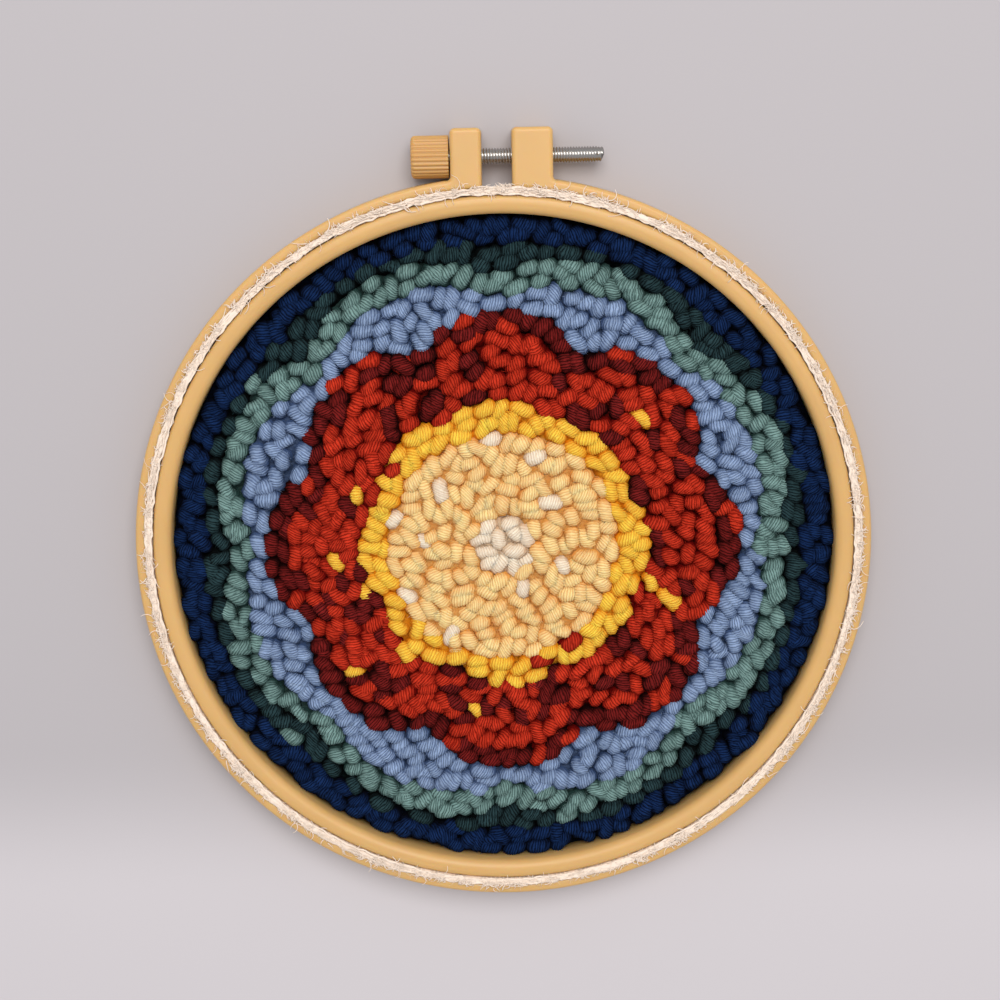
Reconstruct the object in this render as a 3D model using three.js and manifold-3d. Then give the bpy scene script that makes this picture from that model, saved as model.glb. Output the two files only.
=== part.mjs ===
// A punch needle wall piece in an embroidery hoop, lying on its back. Millimetres, +Z up out of the face.
// The origin is at the bottom centre of the bounding box; the hoop's clamp points along +Y.

import * as THREE from 'three';
import { mergeVertices } from 'three/addons/utils/BufferGeometryUtils.js';
import Module from 'manifold-3d';

// Hoop: two moulded rings with the cloth gripped between them
const HOOP_RADIUS = 95;
const OUTER_WALL = 2.8;
const INNER_WALL = 4.6;
const RING_DEPTH = 11.4;
const INNER_STANDS_PROUD = 0.3;
const RIM_ROUND = 0.9;
const BACK_BEVEL = 0.5;
const RING_STEPS = 80;
const CLEARANCE = 0.35;

// Cloth: a flat back, a wall between the rings and a ragged cut edge
const CLOTH_THICKNESS = 1;
const CLOTH_BACK = 1;
const CLOTH_BEND = 0.8;
const FRAY_LEAST = 0.5;
const FRAY_MOST = 1.8;
const FRAY_LEAN = 0.7;
const CLOTH_STEPS = 120;

// Looped pile
const LOOP_HEIGHT = 5.7;
const LOOP_DIP = 2.2;
const LOOP_UNEVEN = 1;
const LOOP_SHIFT = 0.25;
const PILE_GAP = 0.25;
const PETALS = 8;
const PETAL_ROUND = 0.6;

// Clamp: two lugs, a steel rod through them and a fluted knob
const CLAMP_GAP = 7.5;
const KNOB_LUG_WIDTH = 7.8;
const NUT_LUG_WIDTH = 10.2;
const LUG_RISE = 11.9;
const LUG_ROUND = 1.3;
const LUG_BEVEL = 0.7;
const LUG_FILLET = 1;
const LUG_ROOT = 2.4;
const ROD_RADIUS = 2;
const ROD_SIDES = 16;
const ROD_RISE = 4.9;
const ROD_FREE_END = 13.6;
const ROD_CLEARANCE = 0.35;
const KNOB_LENGTH = 9.4;
const KNOB_RADIUS = 5.3;
const KNOB_BEVEL = 0.8;
const KNOB_BORE_DEPTH = 6.5;
const FLUTES = 28;
const FLUTE_DEPTH = 0.45;

// Sizes that follow
const OUTER_INSIDE = HOOP_RADIUS - OUTER_WALL;
const CLOTH_RADIUS = OUTER_INSIDE - CLEARANCE;
const INNER_OUTSIDE = CLOTH_RADIUS - CLOTH_THICKNESS - CLEARANCE;
const INNER_INSIDE = INNER_OUTSIDE - INNER_WALL;
const PILE_RADIUS = INNER_INSIDE - CLEARANCE;
const CLOTH_FACE = CLOTH_BACK + CLOTH_THICKNESS;
const SEAT = CLOTH_FACE + CLEARANCE;
const ROD_Y = HOOP_RADIUS + ROD_RISE;
const ROD_Z = RING_DEPTH / 2;
const KNOB_LUG_FACE = -CLAMP_GAP / 2 - KNOB_LUG_WIDTH;
const NUT_LUG_FACE = CLAMP_GAP / 2 + NUT_LUG_WIDTH;
const KNOB_INNER_END = KNOB_LUG_FACE - CLEARANCE;
const HOOP_Y = -LUG_RISE / 2;

// Yarn areas from the middle out. Each runs from the area before it to its own edge: a circle of radius
// edge, pushed out by swing at each petal, or between the petals where between is true. Lumps lie in rows
// around the middle, one in each of columns.
const YARN_AREAS = [
  { name: 'yarn_white', colour: '#efe9e2', edge: 8, swing: 0, between: false, columns: 24, rows: 1 },
  { name: 'yarn_cream', colour: '#f0cd8e', edge: 30, swing: 0, between: false, columns: 24, rows: 4 },
  { name: 'yarn_yellow', colour: '#eaa92c', edge: 35, swing: 3, between: false, columns: 48, rows: 1 },
  { name: 'yarn_orange_red', colour: '#c4381c', edge: 47, swing: 9, between: false, columns: 48, rows: 3 },
  { name: 'yarn_dark_red', colour: '#6f1414', edge: 53, swing: 9, between: false, columns: 48, rows: 1 },
  { name: 'yarn_light_blue', colour: '#8ea8cc', edge: 64, swing: 6, between: true, columns: 96, rows: 2 },
  { name: 'yarn_sage', colour: '#6f9886', edge: 70, swing: 7, between: true, columns: 96, rows: 1 },
  { name: 'yarn_dark_green', colour: '#263d3c', edge: 77.5, swing: 2, between: true, columns: 96, rows: 1 },
  { name: 'yarn_navy', colour: '#14264f', edge: PILE_RADIUS, swing: 0, between: false, columns: 96, rows: 1 },
];

const PLASTIC = { color: '#dcae6c', roughness: 0.4, metalness: 0 };
const STEEL = { color: '#b9b6b3', roughness: 0.3, metalness: 1 };
const CLOTH = { color: '#ead3bd', roughness: 0.95, metalness: 0 };
const YARN_ROUGHNESS = 0.95;

const MERGE_WITHIN = 1e-4;

const wasm = await Module();
wasm.setup();

// A repeatable value from 0 to 1 for each seed
function scatter(seed) {
  const wave = Math.sin(seed * 12.9898) * 43758.5453;
  return wave - Math.floor(wave);
}

function toManifold(geometry) {
  const bare = geometry.clone();
  bare.deleteAttribute('normal');
  bare.deleteAttribute('uv');
  const merged = mergeVertices(bare, MERGE_WITHIN);
  return new wasm.Manifold(new wasm.Mesh({
    numProp: 3,
    vertProperties: new Float32Array(merged.attributes.position.array),
    triVerts: new Uint32Array(merged.index.array),
  }));
}

function toGeometry(manifold) {
  const mesh = manifold.getMesh();
  const geometry = new THREE.BufferGeometry();
  geometry.setAttribute('position', new THREE.BufferAttribute(mesh.vertProperties, 3));
  geometry.setIndex(new THREE.BufferAttribute(mesh.triVerts, 1));
  geometry.computeVertexNormals();
  return geometry;
}

// A cylinder along X between two places on the screw's line
function alongScrew(radius, start, end, sides) {
  const cylinder = new THREE.CylinderGeometry(radius, radius, end - start, sides);
  return cylinder.rotateZ(Math.PI / 2).translate((start + end) / 2, ROD_Y, ROD_Z);
}

// A ring with a bevelled back and a rounded front rim
function ring(inside, outside, back, front) {
  const profile = new THREE.Path();
  profile.moveTo(inside + BACK_BEVEL, back);
  profile.lineTo(outside - BACK_BEVEL, back);
  profile.lineTo(outside, back + BACK_BEVEL);
  profile.lineTo(outside, front - RIM_ROUND);
  profile.absarc(outside - RIM_ROUND, front - RIM_ROUND, RIM_ROUND, 0, Math.PI / 2);
  profile.lineTo(inside + RIM_ROUND, front);
  profile.absarc(inside + RIM_ROUND, front - RIM_ROUND, RIM_ROUND, Math.PI / 2, Math.PI);
  profile.lineTo(inside, back + BACK_BEVEL);
  profile.closePath();
  const roundSteps = 1;
  return new THREE.LatheGeometry(profile.getPoints(roundSteps), RING_STEPS).rotateX(Math.PI / 2);
}

// One lug: a block on the ring's end, rounded at its top corners and flared at its outer foot
function lug(side, width) {
  const near = side * CLAMP_GAP / 2;
  const far = near + side * width;
  const root = HOOP_RADIUS - LUG_ROOT;
  const top = HOOP_RADIUS + LUG_RISE;
  const ringTop = Math.sqrt(HOOP_RADIUS ** 2 - far ** 2);
  const outline = new THREE.Shape();
  outline.moveTo(near, root);
  outline.lineTo(near, top - LUG_ROUND);
  outline.quadraticCurveTo(near, top, near + side * LUG_ROUND, top);
  outline.lineTo(far - side * LUG_ROUND, top);
  outline.quadraticCurveTo(far, top, far, top - LUG_ROUND);
  outline.lineTo(far, ringTop + LUG_FILLET);
  outline.lineTo(far + side * LUG_FILLET, ringTop);
  outline.lineTo(far + side * LUG_FILLET, root);
  outline.closePath();
  const block = new THREE.ExtrudeGeometry(outline, {
    depth: RING_DEPTH - 2 * LUG_BEVEL,
    bevelThickness: LUG_BEVEL,
    bevelSize: LUG_BEVEL,
    bevelOffset: -LUG_BEVEL,
    bevelSegments: 1,
    curveSegments: 3,
  });
  return block.translate(0, 0, LUG_BEVEL);
}

function outerRing() {
  const gapCutter = new THREE.BoxGeometry(CLAMP_GAP, 4 * OUTER_WALL, 3 * RING_DEPTH);
  gapCutter.translate(0, HOOP_RADIUS, RING_DEPTH / 2);
  const borePast = NUT_LUG_FACE + ROD_FREE_END;
  const bore = alongScrew(ROD_RADIUS + ROD_CLEARANCE, -borePast, borePast, ROD_SIDES);
  const split = toManifold(ring(OUTER_INSIDE, HOOP_RADIUS, 0, RING_DEPTH)).subtract(toManifold(gapCutter));
  const lugged = split.add(toManifold(lug(-1, KNOB_LUG_WIDTH))).add(toManifold(lug(1, NUT_LUG_WIDTH)));
  return toGeometry(lugged.subtract(toManifold(bore)));
}

// The profile gives the wall's top corners twice, and the middle pair is raised into the frayed edge
function groundCloth() {
  const wallInside = CLOTH_RADIUS - CLOTH_THICKNESS;
  const wallTop = RING_DEPTH + INNER_STANDS_PROUD;
  const profile = [
    new THREE.Vector2(0, CLOTH_BACK),
    new THREE.Vector2(CLOTH_RADIUS - CLOTH_BEND, CLOTH_BACK),
    new THREE.Vector2(CLOTH_RADIUS, CLOTH_BACK + CLOTH_BEND),
    new THREE.Vector2(CLOTH_RADIUS, wallTop),
    new THREE.Vector2(CLOTH_RADIUS, wallTop),
    new THREE.Vector2(wallInside, wallTop),
    new THREE.Vector2(wallInside, wallTop),
    new THREE.Vector2(wallInside, CLOTH_FACE),
    new THREE.Vector2(0, CLOTH_FACE),
  ];
  const frayedOutside = 4;
  const frayedInside = 5;
  const geometry = new THREE.LatheGeometry(profile, CLOTH_STEPS).rotateX(Math.PI / 2);
  const position = geometry.attributes.position;
  for (let index = 0; index < position.count; index += 1) {
    const row = index % profile.length;
    if (row !== frayedOutside && row !== frayedInside) continue;
    const column = Math.floor(index / profile.length) % CLOTH_STEPS;
    const rise = THREE.MathUtils.lerp(FRAY_LEAST, FRAY_MOST, scatter(column + 1));
    const lean = FRAY_LEAN * scatter(column + CLOTH_STEPS);
    const spread = 1 + lean / CLOTH_RADIUS;
    position.setXYZ(index, position.getX(index) * spread, position.getY(index) * spread,
      position.getZ(index) + rise);
  }
  return geometry;
}

// The radius of an area's edge at an angle
function edgeAt(area, angle) {
  const turn = area.between ? Math.PI / 2 : 0;
  const petal = Math.abs(Math.cos(PETALS * angle / 2 + turn)) ** PETAL_ROUND;
  return area.edge + area.swing * petal;
}

function onPile(radius, angle, height) {
  return [radius * Math.cos(angle), radius * Math.sin(angle), height];
}

// A disc with one raised lump
function heartGeometry(area) {
  const radius = area.edge - PILE_GAP;
  const profile = [
    new THREE.Vector2(0, SEAT),
    new THREE.Vector2(radius, SEAT),
    new THREE.Vector2(radius, SEAT + LOOP_HEIGHT - LOOP_DIP),
    new THREE.Vector2(radius / 2, SEAT + LOOP_HEIGHT),
    new THREE.Vector2(0, SEAT + LOOP_HEIGHT - LOOP_DIP / 2),
  ];
  return new THREE.LatheGeometry(profile, area.columns).rotateX(Math.PI / 2);
}

// A closed band of pile between two edges, its top raised into one lump for each row and column
function bandGeometry(within, area, seed) {
  const { columns, rows } = area;
  const corners = [];
  const faces = [];
  const dipHeight = SEAT + LOOP_HEIGHT - LOOP_DIP;
  const lastGap = area.edge === PILE_RADIUS ? 0 : PILE_GAP;
  const pointAt = (share, column, height) => {
    const angle = 2 * Math.PI * column / columns;
    const start = edgeAt(within, angle) + PILE_GAP;
    const end = edgeAt(area, angle) - lastGap;
    return onPile(THREE.MathUtils.lerp(start, end, share), angle, height);
  };
  for (let row = 0; row <= rows; row += 1) {
    for (let column = 0; column < columns; column += 1) corners.push(pointAt(row / rows, column, dipHeight));
  }
  const footInside = corners.length;
  for (let column = 0; column < columns; column += 1) corners.push(pointAt(0, column, SEAT));
  const footOutside = corners.length;
  for (let column = 0; column < columns; column += 1) corners.push(pointAt(1, column, SEAT));
  for (let column = 0; column < columns; column += 1) {
    const next = (column + 1) % columns;
    for (let row = 0; row < rows; row += 1) {
      const lump = seed + row * columns + column;
      const across = (row + 0.5 + LOOP_SHIFT * (scatter(lump) - 0.5)) / rows;
      const along = column + 0.5 + LOOP_SHIFT * (scatter(lump + 0.5) - 0.5);
      const height = SEAT + LOOP_HEIGHT + LOOP_UNEVEN * (scatter(lump + 0.25) - 0.5);
      const peak = corners.push(pointAt(across, along, height)) - 1;
      const low = row * columns;
      const high = low + columns;
      faces.push(peak, low + column, high + column, peak, high + column, high + next);
      faces.push(peak, high + next, low + next, peak, low + next, low + column);
    }
    const rim = rows * columns;
    faces.push(column, next, footInside + next);
    faces.push(column, footInside + next, footInside + column);
    faces.push(rim + next, rim + column, footOutside + column);
    faces.push(rim + next, footOutside + column, footOutside + next);
    faces.push(footInside + column, footInside + next, footOutside + next);
    faces.push(footInside + column, footOutside + next, footOutside + column);
  }
  const geometry = new THREE.BufferGeometry();
  geometry.setAttribute('position', new THREE.Float32BufferAttribute(corners.flat(), 3));
  geometry.setIndex(faces);
  geometry.computeVertexNormals();
  return geometry;
}

function clampKnob() {
  const outline = new THREE.Shape();
  const points = 2 * FLUTES;
  for (let point = 0; point < points; point += 1) {
    const radius = KNOB_RADIUS - (point % 2) * FLUTE_DEPTH;
    const angle = 2 * Math.PI * point / points;
    const place = [radius * Math.cos(angle), radius * Math.sin(angle)];
    if (point === 0) outline.moveTo(...place);
    else outline.lineTo(...place);
  }
  outline.closePath();
  const grip = new THREE.ExtrudeGeometry(outline, {
    depth: KNOB_LENGTH - 2 * KNOB_BEVEL,
    bevelThickness: KNOB_BEVEL,
    bevelSize: KNOB_BEVEL,
    bevelOffset: -KNOB_BEVEL,
    bevelSegments: 1,
  });
  grip.rotateY(Math.PI / 2).translate(KNOB_INNER_END - KNOB_LENGTH + KNOB_BEVEL, ROD_Y, ROD_Z);
  const boreEnd = KNOB_INNER_END - KNOB_BORE_DEPTH;
  const bore = alongScrew(ROD_RADIUS + ROD_CLEARANCE, boreEnd, NUT_LUG_FACE, ROD_SIDES);
  return toGeometry(toManifold(grip).subtract(toManifold(bore)));
}

function clampRod() {
  const start = KNOB_INNER_END - KNOB_BORE_DEPTH + CLEARANCE;
  return alongScrew(ROD_RADIUS, start, NUT_LUG_FACE + ROD_FREE_END, ROD_SIDES);
}

function named(name, geometry, finish) {
  const mesh = new THREE.Mesh(geometry, new THREE.MeshStandardMaterial(finish));
  mesh.name = name;
  return mesh;
}

const hoop = new THREE.Group();
hoop.position.y = HOOP_Y;
hoop.add(named('outer_ring', outerRing(), PLASTIC));
const innerFront = RING_DEPTH + INNER_STANDS_PROUD;
hoop.add(named('inner_ring', ring(INNER_INSIDE, INNER_OUTSIDE, SEAT, innerFront), PLASTIC));
hoop.add(named('ground_cloth', groundCloth(), CLOTH));

YARN_AREAS.forEach((area, order) => {
  const seedStep = 1000;
  const geometry = order === 0
    ? heartGeometry(area)
    : bandGeometry(YARN_AREAS[order - 1], area, order * seedStep);
  hoop.add(named(area.name, geometry, { color: area.colour, roughness: YARN_ROUGHNESS, metalness: 0 }));
});

const screw = new THREE.Group();
screw.add(named('clamp_rod', clampRod(), STEEL));
screw.add(named('clamp_knob', clampKnob(), PLASTIC));
hoop.add(screw);

const part = new THREE.Group();
part.add(hoop);

export default part;
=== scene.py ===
"""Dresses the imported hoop: moulded rings, threaded clamp, frayed cloth and looped yarn pile."""

import math
from typing import NamedTuple

import bmesh
import bpy
import numpy as np
from mathutils import Euler, Matrix, Vector


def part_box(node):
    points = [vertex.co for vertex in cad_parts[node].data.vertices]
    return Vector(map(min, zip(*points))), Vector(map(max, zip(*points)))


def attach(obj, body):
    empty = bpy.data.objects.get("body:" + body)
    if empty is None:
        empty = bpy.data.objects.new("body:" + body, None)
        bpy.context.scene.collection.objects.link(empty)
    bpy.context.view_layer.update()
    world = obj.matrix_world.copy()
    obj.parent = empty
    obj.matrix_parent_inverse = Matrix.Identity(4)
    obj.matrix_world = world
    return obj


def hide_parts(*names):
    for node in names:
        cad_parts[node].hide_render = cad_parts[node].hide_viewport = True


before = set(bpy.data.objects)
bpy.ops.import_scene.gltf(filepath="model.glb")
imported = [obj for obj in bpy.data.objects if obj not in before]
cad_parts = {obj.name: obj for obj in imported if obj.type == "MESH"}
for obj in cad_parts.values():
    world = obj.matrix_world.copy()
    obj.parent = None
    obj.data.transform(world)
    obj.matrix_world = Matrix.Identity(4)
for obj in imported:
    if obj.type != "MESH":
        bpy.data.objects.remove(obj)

bl_info = {
    "name": "Punch needle hoop",
    "version": (1, 0, 0),
    "blender": (4, 5, 0),
    "location": "View3D > Sidebar > Punch needle",
    "description": "Builds a looped yarn wall piece in its embroidery hoop",
    "category": "Object",
}

MM = 0.001
TURN = 2 * math.pi
QUARTER = TURN / 4
CLOTH_THICKNESS = 1.0 * MM
HOOP_STEPS = 180
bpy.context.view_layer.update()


def corners(node):
    """The lowest and the highest corner of a solid's box"""
    return (Vector(corner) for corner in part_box(node))


# Places and sizes read from the solids
OUTER_LOW, OUTER_HIGH = corners("outer_ring")
INNER_LOW, INNER_HIGH = corners("inner_ring")
CLOTH_LOW, CLOTH_HIGH = corners("ground_cloth")
ROD_LOW, ROD_HIGH = corners("clamp_rod")
KNOB_LOW, KNOB_HIGH = corners("clamp_knob")
PILE_LOW, PILE_HIGH = corners("yarn_navy")
HOOP_Y = (INNER_LOW.y + INNER_HIGH.y) / 2
HOOP_RADIUS = (OUTER_HIGH.x - OUTER_LOW.x) / 2
INNER_OUTSIDE = (INNER_HIGH.x - INNER_LOW.x) / 2
PILE_RADIUS = (PILE_HIGH.x - PILE_LOW.x) / 2
LUG_TOP = OUTER_HIGH.y - HOOP_Y
RIM_HEIGHT = OUTER_HIGH.z
ROD_LINE = (ROD_LOW + ROD_HIGH) / 2
PILE_FOOT = CLOTH_LOW.z + CLOTH_THICKNESS

YARNS = (
    "white", "cream", "yellow", "orange_red", "dark_red", "light_blue", "sage", "dark_green", "navy",
)

# Share of each area's loops that are worked in another yarn
STRAY_YARNS = {
    "cream": {"white": 0.05},
    "yellow": {"cream": 0.08, "orange_red": 0.03},
    "orange_red": {"dark_red": 0.20, "yellow": 0.05},
    "dark_red": {"orange_red": 0.20},
    "dark_green": {"sage": 0.02},
}


def linear(hex_colour):
    """An sRGB hex colour as linear red, green and blue"""
    channels = [int(hex_colour[start:start + 2], 16) / 255 for start in (1, 3, 5)]
    return tuple(c / 12.92 if c <= 0.04045 else ((c + 0.055) / 1.055) ** 2.4 for c in channels)


def length(name, description, default):
    return bpy.props.FloatProperty(
        name=name, description=description, default=default, unit="LENGTH", precision=5)


def share(name, description, default):
    return bpy.props.FloatProperty(name=name, description=description, default=default)


def count(name, description, default):
    return bpy.props.IntProperty(name=name, description=description, default=default)


def angle(name, description, degrees):
    return bpy.props.FloatProperty(
        name=name, description=description, default=math.radians(degrees), unit="ROTATION")


def colour(name, description, hex_colour):
    return bpy.props.FloatVectorProperty(
        name=name, description=description, default=linear(hex_colour), subtype="COLOR", min=0, max=1)


class HoopSettings(bpy.types.PropertyGroup):
    outer_wall: length("Outer wall", "Thickness of the outer ring", 2.8 * MM)
    inner_wall: length("Inner wall", "Thickness of the inner ring", 4.6 * MM)
    rim_round: length("Rim rounding", "Rounding of the front edges", 1.1 * MM)
    back_round: length("Back rounding", "Rounding of the back edges", 0.45 * MM)
    clamp_gap: length("Clamp gap", "Space between the two lugs", 7.5 * MM)
    knob_lug: length("Knob lug width", "Width of the lug beside the knob", 7.8 * MM)
    nut_lug: length("Nut lug width", "Width of the lug at the free end", 10.2 * MM)
    lug_round: length("Lug rounding", "Rounding of the lugs' top corners", 1.3 * MM)
    lug_fillet: length("Lug fillet", "Rounding at the lugs' outer feet", 1.1 * MM)
    plastic: colour("Plastic", "Colour of the moulded rings", "#D2A96A")


class ClampSettings(bpy.types.PropertyGroup):
    pitch: length("Thread pitch", "Distance between thread crests", 0.7 * MM)
    thread_depth: length("Thread depth", "Height of the thread", 0.42 * MM)
    flutes: count("Flutes", "Grooves around the knob", 28)
    flute_depth: length("Flute depth", "Depth of the knob's grooves", 0.42 * MM)
    knob_round: length("Knob rounding", "Rounding of the knob's ends", 1.0 * MM)
    # The knob's deeper tone stands partly for the thick plastic's own deeper colour and partly as
    # painted shade for its shaded, more orange underside
    plastic: colour("Knob plastic", "Colour of the knob, a deeper tone than the rings", "#C6985A")
    steel: colour("Steel", "Colour of the plated rod", "#A3A09C")


class ClothSettings(bpy.types.PropertyGroup):
    thickness: length("Thickness", "Thickness of the cloth", CLOTH_THICKNESS)
    thread_spacing: length("Thread spacing", "Distance between the threads of the weave", 1.1 * MM)
    wall_run: length("Turned edge", "Cloth that runs up between the rings", 9.5 * MM)
    edge_wave: length("Edge wave", "Unevenness of the cut edge", 0.3 * MM)
    strands: count("Strands", "Loosened threads that run all along the frayed edge", 7)
    loose_threads: count("Loose threads", "Short threads that lie along the frayed edge", 420)
    thread_ends: count("Thread ends", "Cut ends that stand out of the edge", 2300)
    fibres: count("Fibres", "Fine fibres that stand out of the edge", 1500)
    seed: count("Seed", "Start of the random draws", 5)
    ecru: colour("Cloth", "Colour of the cloth and its frayed edge", "#FAE9D8")


class YarnSettings(bpy.types.PropertyGroup):
    radius: length("Yarn radius", "Half the yarn's thickness", 1.9 * MM)
    ridges: count("Ridges", "Plies that cross one loop from foot to foot", 12)
    ridge: length("Ridge height", "How far the plies stand out of the yarn", 0.16 * MM)
    slant: share("Slant", "How far the plies lean along the yarn, as a share of half a loop", 0.19)
    half_span: length("Half span", "Half the distance between a loop's legs", 1.65 * MM)
    area: bpy.props.FloatProperty(
        name="Loop area", description="Cloth covered by one loop", default=16.2 * MM ** 2, precision=8)
    hairs: count("Hairs", "Fine fibres that stand out of each loop", 8)
    rise: length("Loop rise", "Height of the loops over the cloth", 5.75 * MM)
    uneven: length("Unevenness", "Spread of the loops' heights", 0.35 * MM)
    seed: count("Seed", "Start of the random draws", 11)
    white: colour("White", "Yarn at the heart", "#F0DCC6")
    cream: colour("Cream", "Yarn of the middle", "#FBCF92")
    yellow: colour("Yellow", "Yarn around the middle", "#FFC348")
    orange_red: colour("Orange red", "Yarn of the petals", "#BE321B")
    dark_red: colour("Dark red", "Yarn of the petals' edges", "#6E1715")
    light_blue: colour("Light blue", "Yarn around the petals", "#899DBD")
    sage: colour("Sage", "Yarn of the leaves", "#74928E")
    dark_green: colour("Dark green", "Yarn behind the leaves", "#243B3F")
    navy: colour("Navy", "Yarn of the rim", "#0C2650")


class StageSettings(bpy.types.PropertyGroup):
    distance: length("Camera distance", "From the camera to the hoop's face", 450 * MM)
    hoop_width: share("Hoop width", "Width of the hoop in the image, as a share of it", 0.741)
    tilt: angle("Camera tilt", "Tilt of the view from straight above, towards the clamp", 12)
    roll: angle("Camera roll", "Turn of the image", -1.07)
    aim_side: length("Aim sideways", "How far the camera aims beside the hoop's middle", -0.73 * MM)
    aim_up: length(
        "Aim up", "How far the camera aims past the hoop's middle, towards the clamp", 13.4 * MM)
    key_power: bpy.props.FloatProperty(
        name="Key power", description="Power of the main light", default=10.0, unit="POWER")
    fill: share("Fill", "Strength of the light from all around", 0.63)
    floor: colour("Floor", "Colour of the floor", "#B3AFB2")


def add_node(tree, kind, settings=None, inputs=None):
    """Adds a node, sets its options, and gives each input a value or a link"""
    node = tree.nodes.new(kind)
    for name, value in (settings or {}).items():
        setattr(node, name, value)
    for name, value in (inputs or {}).items():
        if isinstance(value, bpy.types.NodeSocket):
            tree.links.new(value, node.inputs[name])
        else:
            node.inputs[name].default_value = value
    return node


def new_material(name):
    """An empty material and its tree of nodes"""
    material = bpy.data.materials.new(name)
    material.use_nodes = True
    material.node_tree.nodes.clear()
    return material, material.node_tree


def calculate(tree, operation, *terms):
    """The result of one sum on sockets or numbers"""
    node = add_node(tree, "ShaderNodeMath", {"operation": operation}, dict(enumerate(terms)))
    return node.outputs["Value"]


def object_places(tree):
    return add_node(tree, "ShaderNodeTexCoord").outputs["Object"]


def attribute(tree, name):
    return add_node(tree, "ShaderNodeAttribute", {"attribute_name": name}).outputs["Fac"]


def noise(tree, places, size, detail, roughness=0.5):
    """Soft noise with spots of about one size"""
    node = add_node(tree, "ShaderNodeTexNoise", inputs={
        "Vector": places, "Scale": 1 / size, "Detail": detail, "Roughness": roughness})
    return node.outputs["Fac"]


def blend(tree, kind, factor, first, second):
    """A mix of two colours or of two numbers"""
    node = add_node(tree, "ShaderNodeMix", {"data_type": kind}, {
        "Factor": factor, "A": first, "B": second})
    return node.outputs["Result"]


def remap(tree, value, source, target, interpolation="LINEAR"):
    """A value carried from one range to another"""
    node = add_node(tree, "ShaderNodeMapRange", {"interpolation_type": interpolation}, {
        "Value": value, "From Min": source[0], "From Max": source[1],
        "To Min": target[0], "To Max": target[1]})
    return node.outputs["Result"]


def relief(tree, height, strength, distance):
    """The normal of a surface raised by a height"""
    node = add_node(tree, "ShaderNodeBump", inputs={
        "Height": height, "Strength": strength, "Distance": distance})
    return node.outputs["Normal"]


def finish_material(tree, shader_inputs):
    shader = add_node(tree, "ShaderNodeBsdfPrincipled", inputs=shader_inputs)
    add_node(tree, "ShaderNodeOutputMaterial", inputs={"Surface": shader.outputs["BSDF"]})


def rgba(rgb, factor=1.0):
    return tuple(channel * factor for channel in rgb) + (1.0,)


def moulded_plastic(name, rgb):
    """Injection moulded polypropylene: waxy, a little translucent, with a soft satin shine"""
    material, tree = new_material(name)
    place = object_places(tree)
    cloud_size, grain_size = 18 * MM, 0.5 * MM
    cloud = noise(tree, place, cloud_size, 3)
    grain = noise(tree, place, grain_size, 2)
    finish_material(tree, {
        "Base Color": blend(tree, "RGBA", cloud, rgba(rgb, 0.92), rgba(rgb, 1.06)),
        "Roughness": remap(tree, cloud, (0, 1), (0.36, 0.5)),
        "IOR": 1.49,
        "Subsurface Weight": 0.6,
        "Subsurface Radius": (1.0, 0.55, 0.2),
        "Subsurface Scale": 2.4 * MM,
        "Normal": relief(tree, grain, 0.06, 0.05 * MM),
    })
    return material


def plated_steel(clamp):
    """Zinc plated steel: bright metal with fine duller spots"""
    material, tree = new_material("zinc plated steel")
    spot_size = 0.6 * MM
    spots = noise(tree, object_places(tree), spot_size, 2)
    finish_material(tree, {
        "Base Color": rgba(clamp.steel),
        "Metallic": 1.0,
        "Roughness": remap(tree, spots, (0, 1), (0.2, 0.34)),
    })
    return material


def woven_cotton(cloth):
    """Plain woven cotton: crossing threads that show as small raised squares"""
    material, tree = new_material("plain woven cotton")
    place = add_node(tree, "ShaderNodeTexCoord")
    unscaled_wave = TURN / 20
    along_x, along_y, upright = (
        add_node(tree, "ShaderNodeTexWave", {"bands_direction": direction}, {
            "Vector": place.outputs["Object"],
            "Scale": unscaled_wave / cloth.thread_spacing,
            "Distortion": 1.2,
            "Detail": 2.0,
        }).outputs["Fac"]
        for direction in ("X", "Y", "Z"))
    facing = add_node(tree, "ShaderNodeSeparateXYZ", inputs={"Vector": place.outputs["Normal"]})
    steepness = calculate(tree, "SUBTRACT", 1.0, calculate(tree, "ABSOLUTE", facing.outputs["Z"]))
    flat_weave = calculate(tree, "MAXIMUM", along_x, along_y)
    weave = calculate(tree, "MAXIMUM", flat_weave, calculate(tree, "MULTIPLY", upright, steepness))
    finish_material(tree, {
        "Base Color": blend(tree, "RGBA", weave, rgba(cloth.ecru, 0.62), rgba(cloth.ecru)),
        "Roughness": 0.95,
        "Sheen Weight": 0.2,
        "Normal": relief(tree, weave, 0.8, 0.3 * MM),
    })
    return material


def cotton_fluff(cloth):
    """Loose cotton threads: matt, with a soft pale sheen"""
    material, tree = new_material("loose cotton thread")
    tuft_size = 0.3 * MM
    tufts = noise(tree, object_places(tree), tuft_size, 3)
    mixed = blend(tree, "FLOAT", 0.5, attribute(tree, "tone"), tufts)
    finish_material(tree, {
        "Base Color": blend(tree, "RGBA", mixed, rgba(cloth.ecru, 0.84), rgba(cloth.ecru, 1.04)),
        "Roughness": 0.95,
        "Sheen Weight": 0.3,
        "Normal": relief(tree, tufts, 0.6, 0.2 * MM),
    })
    return material


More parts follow.
